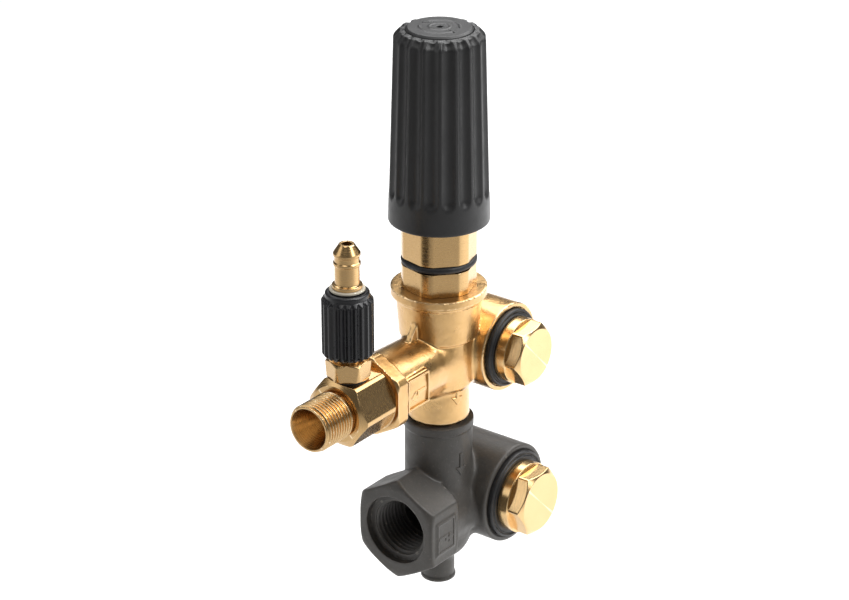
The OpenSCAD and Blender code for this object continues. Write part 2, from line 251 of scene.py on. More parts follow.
def hexy(P, z, af, a, b, k=0.3, up=True):
    """hexagonal prism along -Y, a corner up or flats up"""
    x, zz, t = P[0], P[2] - z, -P[1]
    s3 = math.sqrt(3) / 2
    if up:
        d = [np.abs(x), np.abs(x * 0.5 + zz * s3), np.abs(x * 0.5 - zz * s3)]
    else:
        d = [np.abs(zz), np.abs(zz * 0.5 + x * s3), np.abs(zz * 0.5 - x * s3)]
    h = smax(smax(d[0], d[1], k), d[2], k) - af / 2
    return smax(h, np.maximum(a - t, t - b), k)


def poly2(u, v, pts):
    """signed distance to a polygon in the (u, v) plane"""
    n = len(pts)
    d = np.full(np.shape(u), 1e9)
    s = np.ones(np.shape(u))
    for i in range(n):
        (ax, ay), (bx, by) = pts[i - 1], pts[i]
        ex, ey = bx - ax, by - ay
        wx, wy = u - ax, v - ay
        t = np.clip((wx * ex + wy * ey) / (ex * ex + ey * ey), 0, 1)
        dx, dy = wx - ex * t, wy - ey * t
        d = np.minimum(d, dx * dx + dy * dy)
        c1, c2, c3 = v >= ay, v < by, ex * wy > ey * wx
        flip = (c1 & c2 & c3) | (~c1 & ~c2 & ~c3)
        s = np.where(flip, -s, s)
    return s * np.sqrt(d)


def cut(a, b, k=0.25):
    return smax(a, -b, k)


def surface(fn, lo, hi, h):
    """closed quad mesh of fn = 0 (surface nets, then pulled onto the surface)"""
    ax = [np.arange(lo[i], hi[i] + h, h) for i in range(3)]
    G = np.meshgrid(*ax, indexing="ij", sparse=True)
    f = fn([g.astype(np.float32) for g in G]).astype(np.float32)
    s = f < 0
    nx, ny, nz = f.shape
    cnt = np.zeros((nx - 1, ny - 1, nz - 1), np.int8)
    for i in (0, 1):
        for j in (0, 1):
            for k in (0, 1):
                cnt += s[i : nx - 1 + i, j : ny - 1 + j, k : nz - 1 + k]
    act = (cnt > 0) & (cnt < 8)
    I = np.argwhere(act)
    vid = np.full(act.shape, -1, np.int64)
    vid[act] = np.arange(len(I))
    acc = np.zeros((len(I), 3))
    num = np.zeros(len(I))
    cor = [(i, j, k) for i in (0, 1) for j in (0, 1) for k in (0, 1)]
    for p in cor:
        for axn in range(3):
            if p[axn]:
                continue
            q = list(p)
            q[axn] = 1
            fp = f[I[:, 0] + p[0], I[:, 1] + p[1], I[:, 2] + p[2]]
            fq = f[I[:, 0] + q[0], I[:, 1] + q[1], I[:, 2] + q[2]]
            m = (fp < 0) != (fq < 0)
            t = np.where(m, fp / np.where(m, fp - fq, 1), 0)
            pos = np.array(p, float)[None] + 0 * acc
            pos[:, axn] = t
            acc += pos * m[:, None]
            num += m
    V = np.array(lo)[None] + (I + acc / num[:, None]) * h
    F = []
    for axn in range(3):
        o1, o2 = [(1, 2), (2, 0), (0, 1)][axn]
        a = [slice(None)] * 3
        b = [slice(None)] * 3
        a[axn], b[axn] = slice(0, -1), slice(1, None)
        sa, sb = s[tuple(a)], s[tuple(b)]
        E = np.argwhere(sa != sb)
        E = E[(E[:, o1] > 0) & (E[:, o2] > 0) & (E[:, o1] < f.shape[o1] - 1) & (E[:, o2] < f.shape[o2] - 1)]
        out = sa[E[:, 0], E[:, 1], E[:, 2]]

        def cell(d1, d2):
            C = E.copy()
            C[:, o1] += d1
            C[:, o2] += d2
            return vid[C[:, 0], C[:, 1], C[:, 2]]

        Q = np.stack([cell(-1, -1), cell(0, -1), cell(0, 0), cell(-1, 0)], -1)
        Q[~out] = Q[~out][:, ::-1]
        F.append(Q)
    F = np.concatenate(F)
    e = h * 0.05
    for _ in range(2):
        X = [V[:, i] for i in range(3)]
        v0 = fn(X)
        g = np.stack([(fn([X[j] + (e if j == i else 0) for j in range(3)]) - v0) / e for i in range(3)], -1)
        step = v0[:, None] * g / np.maximum((g * g).sum(1), 0.2)[:, None]
        ln = np.sqrt((step * step).sum(1))
        step *= np.minimum(1, 0.5 * h / np.maximum(ln, 1e-9))[:, None]
        V = V - step
    return V, F.tolist()


def clean(o, dist=0.00003):
    """weld slivers so that the mesh stays closed and tidy"""
    import bmesh

    bm = bmesh.new()
    bm.from_mesh(o.data)
    bmesh.ops.remove_doubles(bm, verts=bm.verts, dist=dist)
    bmesh.ops.recalc_face_normals(bm, faces=bm.faces)
    bm.to_mesh(o.data)
    bm.free()
    o.data.update()


# ------------------------------------------------------------------ materials
class Mat:
    def __init__(s, name, color, rough, metal=0.0, spec=None, coat=0.0, coat_rough=0.1):
        s.m = bpy.data.materials.new(name)
        s.m.use_nodes = True
        s.t = s.m.node_tree
        s.p = s.t.nodes["Principled BSDF"]
        s.p.inputs["Metallic"].default_value = metal
        s.p.inputs["Roughness"].default_value = rough
        s.p.inputs["Base Color"].default_value = (*color, 1)
        if spec is not None:
            s.p.inputs["Specular IOR Level"].default_value = spec
        if coat:
            s.p.inputs["Coat Weight"].default_value = coat
            s.p.inputs["Coat Roughness"].default_value = coat_rough
        s.tc = s.new("ShaderNodeTexCoord")
        s.height = None
        s.color = None
        s.rough = None

    def new(s, kind, **kw):
        n = s.t.nodes.new(kind)
        for k, v in kw.items():
            setattr(n, k, v)
        return n

    def link(s, a, b):
        s.t.links.new(a, b)

    def coords(s, scale=(1, 1, 1)):
        m = s.new("ShaderNodeMapping")
        m.inputs["Scale"].default_value = scale
        s.link(s.tc.outputs["Object"], m.inputs["Vector"])
        return m.outputs["Vector"]

    def noise(s, scale, detail=3.0, rough=0.5, stretch=(1, 1, 1), dist=0.0):
        n = s.new("ShaderNodeTexNoise")
        n.inputs["Scale"].default_value = scale
        n.inputs["Detail"].default_value = detail
        n.inputs["Roughness"].default_value = rough
        n.inputs["Distortion"].default_value = dist
        s.link(s.coords(stretch), n.inputs["Vector"])
        return n.outputs["Fac"]

    def voronoi(s, scale, feature="F1"):
        n = s.new("ShaderNodeTexVoronoi", feature=feature)
        n.inputs["Scale"].default_value = scale
        s.link(s.coords(), n.inputs["Vector"])
        return n.outputs["Distance"]

    def turned(s, pitch=0.12, wob=0.25):
        """noise that only changes along the axis and the radius, like tool marks"""
        sep = s.new("ShaderNodeSeparateXYZ")
        s.link(s.tc.outputs["Object"], sep.inputs[0])
        comb = s.new("ShaderNodeCombineXYZ")
        s.link(sep.outputs[0], comb.inputs[0])
        s.link(sep.outputs[1], comb.inputs[1])
        ln = s.new("ShaderNodeVectorMath", operation="LENGTH")
        s.link(comb.outputs[0], ln.inputs[0])
        c2 = s.new("ShaderNodeCombineXYZ")
        s.link(ln.outputs["Value"], c2.inputs[0])
        s.link(sep.outputs[2], c2.inputs[1])
        n = s.new("ShaderNodeTexNoise")
        n.inputs["Scale"].default_value = 1000.0 / pitch / 2.2
        n.inputs["Detail"].default_value = 2.0
        n.inputs["Roughness"].default_value = 0.6
        s.link(c2.outputs[0], n.inputs["Vector"])
        return n.outputs["Fac"]

    def remap(s, v, a, b, c=0.0, d=1.0):
        n = s.new("ShaderNodeMapRange")
        n.inputs["From Min"].default_value = a
        n.inputs["From Max"].default_value = b
        n.inputs["To Min"].default_value = c
        n.inputs["To Max"].default_value = d
        s.link(v, n.inputs["Value"])
        return n.outputs["Result"]

    def edge(s, lo=0.52, hi=0.6):
        g = s.new("ShaderNodeNewGeometry")
        return s.remap(g.outputs["Pointiness"], lo, hi)

    def math(s, op, a, b):
        n = s.new("ShaderNodeMath", operation=op)
        for i, v in enumerate((a, b)):
            if isinstance(v, (int, float)):
                n.inputs[i].default_value = v
            else:
                s.link(v, n.inputs[i])
        return n.outputs[0]

    def tint(s, fac, c):
        """mixes colour c in by fac"""
        n = s.new("ShaderNodeMix", data_type="RGBA")
        s.link(fac, n.inputs["Factor"])
        if s.color is None:
            n.inputs[6].default_value = s.p.inputs["Base Color"].default_value
        else:
            s.link(s.color, n.inputs[6])
        n.inputs[7].default_value = (*c, 1)
        s.color = n.outputs[2]

    def add_rough(s, fac, amount):
        base = s.rough if s.rough is not None else s.p.inputs["Roughness"].default_value
        s.rough = s.math("ADD", s.math("MULTIPLY", fac, amount), base)

    def bump(s, fac, dist_mm, strength=1.0):
        n = s.new("ShaderNodeBump")
        n.inputs["Strength"].default_value = strength
        n.inputs["Distance"].default_value = dist_mm * MM
        s.link(fac, n.inputs["Height"])
        if s.height is not None:
            s.link(s.height, n.inputs["Normal"])
        s.height = n.outputs["Normal"]

    def done(s):
        if s.color is not None:
            s.link(s.color, s.p.inputs["Base Color"])
        if s.rough is not None:
            s.link(s.rough, s.p.inputs["Roughness"])
        if s.height is not None:
            s.link(s.height, s.p.inputs["Normal"])
        return s.m


def cast_brass():
    m = Mat("cast_brass", (0.68, 0.425, 0.175), 0.27, metal=1.0, coat=0.5, coat_rough=0.15)
    m.tint(m.remap(m.noise(70, 4, 0.6), 0.42, 0.70, 0, 0.55), (0.60, 0.35, 0.12))
    m.tint(m.remap(m.noise(260, 3, 0.6), 0.5, 0.8, 0, 0.35), (0.80, 0.53, 0.26))
    m.tint(m.edge(0.515, 0.60), (0.92, 0.70, 0.42))
    m.add_rough(m.remap(m.noise(160, 3), 0.35, 0.7), 0.14)
    m.bump(m.noise(600, 4, 0.62), 0.10, 0.6)
    m.bump(m.noise(150, 3, 0.5), 0.42, 0.6)
    return m.done()


def turned_brass(name="turned_brass", color=(0.62, 0.40, 0.175), rough=0.2, pitch=0.14):
    m = Mat(name, color, rough, metal=1.0, coat=0.4, coat_rough=0.1)
    m.tint(m.remap(m.noise(90, 3, 0.6), 0.4, 0.75, 0, 0.4), (color[0] * 0.86, color[1] * 0.8, color[2] * 0.72))
    m.tint(m.edge(0.52, 0.6), (0.95, 0.76, 0.50))
    m.add_rough(m.remap(m.turned(pitch), 0.3, 0.7), 0.10)
    if name != "bolt_brass":
        m.bump(m.turned(pitch), 0.0010, 0.8)
    m.bump(m.noise(140, 2), 0.04, 0.4)
    return m.done()


def moulded(name, color, rough, grain, grain_mm, light, spec=0.5, speck=None):
    m = Mat(name, color, rough, spec=spec)
    m.tint(m.remap(m.noise(60, 4, 0.6), 0.4, 0.75, 0, 0.7), light)
    if speck:
        m.tint(m.remap(m.noise(900, 2, 0.7), 0.60, 0.78, 0, 0.6), speck)
    m.tint(m.edge(0.53, 0.64), tuple(min(1, c * 1.9) for c in light))
    m.add_rough(m.remap(m.noise(220, 3), 0.35, 0.7), 0.12)
    m.bump(m.noise(grain, 3, 0.6), grain_mm, 0.6)
    return m.done()


def rubber():
    m = Mat("rubber", (0.012, 0.012, 0.013), 0.42, spec=0.5)
    m.tint(m.remap(m.noise(300, 3), 0.5, 0.75, 0, 0.5), (0.03, 0.03, 0.031))
    m.add_rough(m.remap(m.noise(400, 2), 0.35, 0.7), 0.15)
    m.bump(m.noise(900, 2), 0.02, 0.5)
    return m.done()


def steel():
    m = Mat("steel", (0.60, 0.60, 0.61), 0.28, metal=1.0)
    m.tint(m.remap(m.noise(120, 3), 0.45, 0.75, 0, 0.5), (0.42, 0.42, 0.43))
    m.add_rough(m.remap(m.turned(0.12), 0.3, 0.7), 0.12)
    m.bump(m.turned(0.12), 0.008, 0.7)
    return m.done()


M_CAST = cast_brass()
M_TURN = turned_brass()
M_BOLT = turned_brass("bolt_brass", (0.80, 0.54, 0.255), 0.18, 0.3)
M_HOUSE = moulded("housing_plastic", (0.050, 0.046, 0.041), 0.40, 1100, 0.10, (0.075, 0.068, 0.060), speck=(0.11, 0.10, 0.088))
M_KNOB = moulded("knob_plastic", (0.020, 0.020, 0.0205), 0.36, 1500, 0.03, (0.028, 0.028, 0.029))
M_GLOSS = moulded("gloss_plastic", (0.012, 0.012, 0.014), 0.24, 900, 0.02, (0.018, 0.018, 0.02))
M_RUB = rubber()
M_STEEL = steel()
M_PALE = moulded("pale_ring", (0.55, 0.50, 0.40), 0.35, 900, 0.01, (0.62, 0.57, 0.47))


# ------------------------------------------------------------------ delivery body (cast brass)
def arrow(u, v, ln, w, hw, hl):
    """an arrow from (0, 0) down -v, shaft width w, head width hw and length hl"""
    return poly2(u, v, [(-w / 2, 0), (w / 2, 0), (w / 2, -ln + hl), (hw / 2, -ln + hl), (0, -ln), (-hw / 2, -ln + hl), (-w / 2, -ln + hl)])


def delivery(P):
    x, y, z = P
    neck = cyl(P, 2, (0, 0), 13.55, 8.3, 23.2, 1.3, r2=14.75)
    d = smin(cyl(P, 2, (0, 0), 11.8, -9.2, 14, 1.2), cyl(P, 1, (0, 0), 10.7, -4, 33.4, 0, r2=12.0), 3.5)
    boss = cyl(P, 0, (BY, 0), 15.8, -14, 15.7, 0.4)
    d = smin(d, boss, 2.6)
    d = smin(d, block(P, (-9.5, 0, -9), (9.5, 14, 9), 1.5), 2.0)
    d = smin(d, neck, 0.5)
    d = np.minimum(d, cyl(P, 2, (0, 0), 15.35, 22.3, 24.1, 0.55))
    d = smin(d, cyl(P, 2, (0, 0), 16.5, 23.75, 26.6, 0.3), 0.25)
    d = smin(d, cyl(P, 2, (0, 0), 10.7, -21.9, -5, 0.3), 2.2)
    d = np.minimum(d, cyl(P, 2, (0, 0), 8.8, -38, -21, 0.5))
    zd = z - np.clip(z, -1.9, 0)
    col = hexy([x, y, zd], 0, 24, 33, 38.35, 0.12)
    t = -y
    rad = np.hypot(x, zd)
    col = smax(col, (rad - (13.2 - (t - 37.6) * 1.1)) * 0.67, 0.12)
    col = smax(col, rad - 13.25, 0.12)
    d = smin(d, col, 0.35)
    d = smin(d, block(P, (3, -33.2, -6.2), (11.35, -20.8, 6.2), 0.9), 0.5)
    # gusset on the front of the neck
    rib = np.maximum(poly2(-y, z, [(12.5, 17.8), (13.9, 17.6), (18.6, 11.2), (18.6, 9), (12.5, 9)]), np.abs(x - 0.4) - 1.05)
    d = smin(d, rib, 0.6)
    # machined cuts
    d = cut(d, cyl(P, 2, (0, 0), 10, 13, 30), 0.15)
    d = cut(d, cyl(P, 2, (0, 0), 7, -8, 14), 0.15)
    d = cut(d, cyl(P, 2, (0, 0), 4.2, -40, -7), 0.15)
    d = cut(d, cyl(P, 0, (BY, 0), 8.7, -20, 20), 0.25)
    d = cut(d, cyl(P, 0, (BY, 0), 14.15, 15.35, 20), 0.2)
    d = cut(d, cyl(P, 1, (0, 0), 8.05, 28, 45), 0.15)
    d = cut(d, cyl(P, 1, (0, 0), 9.95, 36.9, 45), 0.15)
    for g in (-27, -33):
        d = cut(d, np.maximum(np.abs(z - g) - 1.3, 7.3 - np.hypot(x, y)), 0.1)
    return d


V, F = surface(delivery, (-17.27, -39.31, -38.87), (17.6, 36.6, 27.6), 0.42)
body = build("visual_delivery_body", V, F, frame_z(), "valve_body", ["delivery_body"], M_CAST, 40)
clean(body, 0.000002)


# ------------------------------------------------------------------ inlet housing (moulded)
def inlet(P):
    x, y, z = P
    d = smin(cyl(P, 2, (0, 0), 11.8, -67, -23.4, 0.2), ball(P, (0, 0, -67), 11.8), 0.5)
    d = smin(d, cyl(P, 0, (BY, LZ), 18, -14, 18.8, 0.9), 2.6)
    d = smin(d, block(P, (-10.5, 0, LZ - 13), (10.5, 14, LZ + 13), 1.5), 2.0)
    d = smin(d, cyl(P, 1, (0, IZ), 14.4, -2, 9.6, 1.0), 2.0)
    d = smin(d, ball(P, (8.5, 4, LZ - 2.2), 6.8), 2.0)
    t = -y
    rad = np.hypot(x, z - IZ)
    ze = z - IZ
    ze = ze - np.clip(ze, -1.2, 0.8)
    rad = np.hypot(x, ze)
    hx = hexy([x, y, ze], 0, 31.4, 9, 25, 0.6)
    hx = smax(hx, (rad - (15.9 + (25 - t) * 1.6)) * 0.53, 0.8)
    hx = smax(hx, (rad - (16.2 + (t - 9) * 1.8)) * 0.49, 0.5)
    d = smin(d, hx, 0.8)
    pad = block(P, (6, -22.5, IZ - 6.8), (16.05, -11.5, IZ + 6.2), 0.6)
    d = smin(d, pad, 0.6)
    d = smin(d, cyl(P, 2, (0, 0), 12.2, -26.2, -23.1, 0.35), 0.3)
    d = smin(d, cyl(P, 2, (0, 0), 5.8, -86.3, -68, 0.3), 1.6)
    d = smin(d, cyl(P, 2, (0, 0), 6.2, -86.8, -85.4, 0.35), 0.3)
    d = cut(d, cyl(P, 2, (0, 0), 8.9, -38.5, -20), 0.2)
    d = cut(d, cyl(P, 2, (0, 0), 7.2, -64, -38), 0.2)
    d = cut(d, cyl(P, 0, (BY, LZ), 10.8, -20, 25), 0.3)
    d = cut(d, cyl(P, 0, (BY, LZ), 16.3, 18.4, 25), 0.25)
    d = cut(d, cyl(P, 1, (0, IZ), 8, 0, 10), 0.2)
    d = cut(d, cyl(P, 1, (0, IZ), 11.0, 9, 30), 0.2)
    d = cut(d, cyl(P, 1, (0, IZ), 12.4, 22.4, 30), 0.3)
    return d


V, F = surface(inlet, (-18.6, -26, -88), (20, 38.8, -22), 0.42)
house = build("visual_inlet_body", V, F, frame_z(), "valve_body", ["inlet_body"], M_HOUSE, 40)
clean(house)

# ------------------------------------------------------------------ raised marks: blank frames and flow arrows


def bent(u, v):
    """a stepped flow arrow that points along +u"""
    pts = [(-4.0, -0.6), (-0.4, -0.6), (-0.4, -1.9), (1.5, -1.9), (1.5, -3.1), (4.3, -1.2), (1.5, 0.9), (1.5, -0.7), (0.8, -0.7), (0.8, 0.6), (-4.0, 0.6)]
    return poly2(u, v, pts)


def tile(P, x0, x1, y0, y1, z0, z1, w, way):
    x, y, z = P
    cy, cz = (y0 + y1) / 2, (z0 + z1) / 2
    slab = np.abs(x - (x0 + x1) / 2) - (x1 - x0) / 2
    q = [np.abs(y - cy) - (y1 - y0) / 2, np.abs(z - cz) - (z1 - z0) / 2]
    o = smax(q[0], q[1], 0.3)
    fr = smax(o, -(o + w), 0.12)
    d = np.minimum(fr, bent((y - cy) * way, z - cz))
    return smax(d, slab, 0.22)


def mark(name, fn, lo, hi, mat, h=0.16):
    V, F = surface(fn, lo, hi, h)
    o = build(name, V, F, frame_z(), "valve_body", [], mat, 50)
    clean(o, 0.000004)


mark("outlet_mark", lambda P: tile(P, 10.9, 12.1, -32.75, -21.25, -5.75, 5.75, 0.7, -1), (11.0, -33.2, -6.2), (12.4, -20.8, 6.2), M_CAST)
mark("inlet_mark", lambda P: tile(P, 15.7, 16.3, -21.9, -12.1, IZ - 6.2, IZ + 5.6, 0.75, 1), (15.4, -22.4, IZ - 6.8), (16.6, -11.6, IZ + 6.2), M_HOUSE)


def on_barrel(P, r, lift, y0, z0, ln):
    x, y, z = P
    a = arrow(y - y0, z - z0, ln, 1.1, 4.2, 3.2)
    rad = np.hypot(x, y)
    return smax(a, np.maximum(rad - r - lift, r - 0.4 - rad), 0.25)


mark("delivery_arrow", lambda P: on_barrel(P, 10.7, 0.45, -3.2, -6.4, 8.8), (8.6, -6.6, -16), (11.6, 0.2, -5.8), M_CAST)
mark("suction_arrow", lambda P: on_barrel(P, 11.8, 0.42, -2.6, -33.6, 8.4), (9.8, -6.2, -42.6), (12.8, 0.8, -33), M_HOUSE)

# moulded G 1/2 female thread inside the inlet, one closed ring
prof = outline([(9.2, 11.3), (9.2, 9.5), (22.5, 9.5), (22.5, 11.3)], step=0.14)[::-1]


def in_thread(th, T, R, NT, NR):
    inner = R < 10.6
    p = np.mod(T / 1.814 - th / (2 * math.pi), 1.0)
    s = np.abs(2 * p - 1)
    g = np.clip((s - 0.15) / 0.7, 0, 1)
    f = np.clip((22.4 - T) / 1.2, 0, 1)
    return T, np.where(inner, 9.42 + 1.1 * g * np.clip((T - 9.3) / 1.0, 0, 1) * 1.0 * np.minimum(1, f * 2) + 0.9 * (1 - np.minimum(1, f * 1.2)), R)


V, F = spin(prof, 144, in_thread)
thr = build("visual_inlet_thread", V, F, frame_y(IZ), "valve_body", [], M_HOUSE, 60)
clean(thr, 1e-7)

# ------------------------------------------------------------------ bonnet
prof = outline([(15.1, 7.45), (15.1, 9.95, 0.3), (26.7, 9.95), (26.7, 12.8, 0.1), (34.95, 12.8, 0.15), (35.15, 10.9, 0.2), (37.65, 10.9, 0.2), (37.85, 12.8, 0.15),
                (66, 12.8, 0.2), (71, 9.5, 0.3), (71, 6.05, 0.2), (63.5, 6.05), (63.5, 9), (28.5, 9), (28.5, 5), (18.6, 5), (18.6, 7.45)], step=1.0)
V, F = spin(prof, 360, hex_between(24, -72.5, 26.6, 71.2, 0.14))
build("visual_bonnet", V, F, frame_z(), "valve_body", ["bonnet"], M_TURN, 30)


def torus(name, t, r, w, place, nodes, squash=1.0, mat=None, n=160):
    a = np.arange(20) * 2 * math.pi / 20
    pr = np.stack([t + w * squash * np.sin(a), r + w * np.cos(a)], -1)
    V, F = spin(pr, n)
    return build(name, V, F, place, "valve_body", nodes, mat or M_RUB, 80)


torus("visual_bonnet_ring", 36.4, 11.95, 1.04, frame_z(), ["bonnet_ring"], 1.15)


# ------------------------------------------------------------------ banjo bolts and their seals
def bolt(name, face, shank, stud, af, headr, frontr, hexh, c0, z, pitch, depth, node):
    f = face + 1.95
    top = face + 6 + hexh
    bore = shank * 0.54
    rc = af / math.sqrt(3)
    inner = outline([(6.0, 0), (6.0, bore, 0.3), (-stud, bore)], step=1.5, loop=False)[:-1]
    # one closed surface: bore bottom on the axis, out along the stud, over the head, back to the axis
    outer = outline([(-stud, bore), (-stud, shank - 1.1, 0.15), (-stud + 1.1, shank), (-15.7, shank), (-15.7, shank - 1.2), (face - 3.2, shank - 1.2), (face - 3.0, shank), (f, shank),
                     (f, headr, 0.25), (face + 6, headr, 0.3), (face + 6, rc - 0.1, 0.05), (top - 1.35, rc - 0.1, 0.05), (top, frontr, 0.1), (top, 0)], step=0.16, loop=False)
    pr = np.concatenate([inner, outer])

    def fn(th, T, R, NT, NR):
        h = hexr(th, af, c0)
        on = (T > face + 6.1) & (R > 0.3 * af)
        R2 = np.where(on, smin(h + 0 * R, R, 0.12), R)
        out = (R > shank - 0.05) & (T < -15.6)
        R2 = np.where(out, thread(R2, T, th, -stud, -15.6, pitch, depth, -1, 1.0, 0.8), R2)
        return T, R2

    V, F = spin(pr, 240, fn, loop=False)
    return build(name, V, F, frame_x(z), "valve_body", [node], M_BOLT, 28, (-stud + 0.3, -15.8))


bolt("visual_delivery_bolt", 15.7, 8.33, 26, 19.8, 11.6, 9.4, 5.5, 6, 0, 1.337, 0.8, "delivery_bolt")
bolt("visual_suction_bolt", 18.8, 10.48, 22.5, 21.8, 12.9, 10.5, 5.6, 0, LZ, 1.814, 1.1, "suction_bolt")


def head_seal(name, face, rin, r, z, node):
    """bonded washer: a flat inner part under the bolt's collar, a valley and an outer bead"""
    lo = face - 0.28
    pr = outline([(lo, rin, 0.1), (lo, r + 1.05, 0.3), (lo + 1.6, r + 1.05, 0.6), (lo + 2.12, r + 0.45, 0.5), (lo + 1.35, r - 0.3, 0.3), (lo + 2.1, r - 0.75, 0.25), (lo + 2.1, rin, 0.1)], step=0.3)
    V, F = spin(pr, 180)
    clean(build(name, V, F, frame_x(z), "valve_body", [node], M_RUB, 70), 1e-7)


head_seal("visual_delivery_head_seal", 15.7, 8.45, 12.75, 0, "delivery_head_seal")
head_seal("visual_suction_head_seal", 18.8, 10.6, 14.7, LZ, "suction_head_seal")


def back_seal(name, r0, r1, z, node):
    pr = outline([(-15.5, r0, 0.15), (-14.02, r0, 0.15), (-14.02, r1, 0.2), (-15.5, r1, 0.3)], step=0.5)
    V, F = spin(pr[::-1], 160)
    clean(build(name, V, F, frame_x(z), "valve_body", [node], M_RUB, 50), 1e-7)


back_seal("visual_delivery_back_seal", 8.45, 12.5, 0, "delivery_back_seal")
back_seal("visual_suction_back_seal", 10.6, 15, LZ, "suction_back_seal")

# ------------------------------------------------------------------ injector body
pr_in = outline([(28.5, 5), (42, 5), (42, 4), (50.5, 4), (50.5, 2.2), (58, 2.2), (70.5, 7.2)], step=1.5, loop=False)
pr_out = outline([(70.5, 7.2, 0.08), (70.5, 7.7, 0.1), (69.5, 8.33, 0.1), (57.6, 8.33), (57.5, 7.25, 0.1), (56.5, 7.25, 0.1), (56.5, 9.8, 0.12), (54.9, 12.27, 0.1), (40.0, 12.27, 0.1), (40.0, 8.4),
                  (36.9, 8.4), (36.9, 7.98), (28.5, 7.98, 0.3), (28.5, 5)], step=0.11, loop=False)
prof = np.concatenate([pr_in[:-1], pr_out[:-1]])[::-1]


def inj(th, T, R, NT, NR):
    h = hexr(th, 22, -6)
    on = (T > 40.02) & (T < 56.52) & (R > 7.5)
    R2 = np.where(on, smin(h + 0 * R, R, 0.12), R)
    R2 = np.where((R > 7.69) & (T > 57.5), thread(R2, T, th, 57.3, 70.3, 1.337, 0.82, -1, 1.1, 0.5), R2)
    return T, R2


V, F = spin(prof, 288, inj)
build("visual_injector_body", V, F, frame_y(0), "valve_body", ["injector_body"], M_TURN, 30, (57.6, 70.45))

prof = outline([(38.4, 8.5, 0.1), (38.4, 11, 0.35), (39.9, 11, 0.35), (39.9, 8.5, 0.1)], step=0.5)[::-1]
V, F = spin(prof, 200)
clean(build("visual_injector_washer", V, F, frame_y(0), "valve_body", ["injector_washer"], M_TURN, 40), 1e-7)

# ------------------------------------------------------------------ injector valve
FM = frame_z(0, -MY, 0)
prof = outline([(5.6, 2.7), (5.6, 4.9, 0.2), (11.7, 4.9), (11.7, 7.25, 0.25), (16.9, 7.6, 0.1), (17.8, 6.5, 0.15), (17.8, 5.0), (39.2, 5.0, 0.3), (39.2, 4.1), (34, 4.1), (34, 1.5), (13, 1.5), (13, 2.7)], step=0.25)
V, F = spin(prof, 240, hex_between(13.3, -84, 11.72, 17.9, 0.12))
build("visual_metering_base", V, F, FM, "valve_body", ["metering_base"], M_TURN, 30)

prof = outline([(10.05, 4.95), (10.05, 6.2, 0.4), (11.65, 6.2, 0.5), (11.65, 4.95)], step=0.5)
V, F = spin(prof, 120)
clean(build("visual_metering_seal", V, F, FM, "valve_body", ["metering_seal"], M_RUB, 50), 1e-7)


def flute(count, w, depth, lo, hi, end_lo, end_hi, phase=0.0, rmin=0.0, soft=0.25):
    """grooves pressed into the surface along its normal"""

    def fn(th, T, R, NT, NR):
        u = np.abs(np.mod(th * count / (2 * math.pi) + phase, 1.0) - 0.5) * 2
        u = u + 0 * T
        e = np.maximum((lo + end_lo - T) / end_lo, 0) * w
        e2 = np.maximum((T - (hi - end_hi)) / end_hi, 0) * w
        q = np.sqrt(u * u + e * e + e2 * e2) / w
        g = 1 - q * q
        g = np.where(g > 0, g, 0)
        g = g * g / (g + soft) * (1 + soft)
        g = np.where((NR > -0.2) & (R > rmin), g, 0) * depth
        return T - g * NT, R - g * NR

    return fn


K = 0.1 * 0
prof = outline([(19.3, 7.02), (19.3, 7.7, 0.3), (20.3, 8.6, 0.7), (38.9, 8.6, 0.9), (40.2, 7.35, 0.35), (41.6, 7.3, 0.5), (42.0, 6.6, 0.3), (42.0, 4.45, 0.2), (39, 4.45), (39, 5.4), (36.5, 5.4), (36.5, 7.02)], step=0.35)
V, F = spin(prof, 22 * 16, flute(22, 0.75, 0.95, 18.6, 39.9, 1.2, 1.5, rmin=7.2, soft=0.08))
build("visual_metering_knob", V, F, FM, "metering", ["metering_knob"], M_GLOSS, 50)

prof = outline([(34.1, 1.65), (34.1, 4.05, 0.2), (43.2, 4.05), (43.2, 5.0, 0.15), (44.4, 5.0, 0.3), (44.7, 4.1, 0.3), (50.9, 4.1, 0.2), (51.3, 4.5, 0.15), (52.1, 4.5, 0.15), (52.5, 4.12, 0.1), (54.2, 4.15, 0.2),
                (54.6, 4.5, 0.15), (55.4, 4.5, 0.5), (58.1, 2.75, 0.25), (58.4, 2.5, 0.15), (58.4, 1.65, 0.1)], step=0.5)
V, F = spin(prof, 120)
clean(build("visual_hose_barb", V, F, FM, "valve_body", ["hose_barb"], M_TURN, 30), 1e-7)
prof = outline([(42.35, 4.1, 0.1), (42.35, 5.9, 0.25), (43.15, 5.9, 0.25), (43.15, 4.1, 0.1)], step=0.5)
V, F = spin(prof, 120)
clean(build("visual_barb_ring", V, F, FM, "valve_body", ["barb_ring"], M_PALE, 50), 1e-7)

# ------------------------------------------------------------------ adjusting knob
prof = outline([(50.6, 13.4, 0.3), (50.6, 17.15, 0.7), (51.6, 17.17), (114.8, 15.3, 2.6), (117.05, 13.2, 1.3), (117.18, 11.5, 0.1), (116.95, 11.32, 0.05), (112.0, 11.32, 0.1), (112.0, 8.2), (92, 8.2), (92, 7.55), (77.6, 7.55), (77.6, 13.4, 0.5)], step=0.9)
V, F = spin(prof, 18 * 24, flute(18, 0.8333, 1.15, 60.0, 117.8, 2.2, 2.0, phase=0.625, rmin=11.9, soft=0.05))
build("visual_adjusting_knob", V, F, frame_z(), "knob", ["adjusting_knob"], M_KNOB, 50)


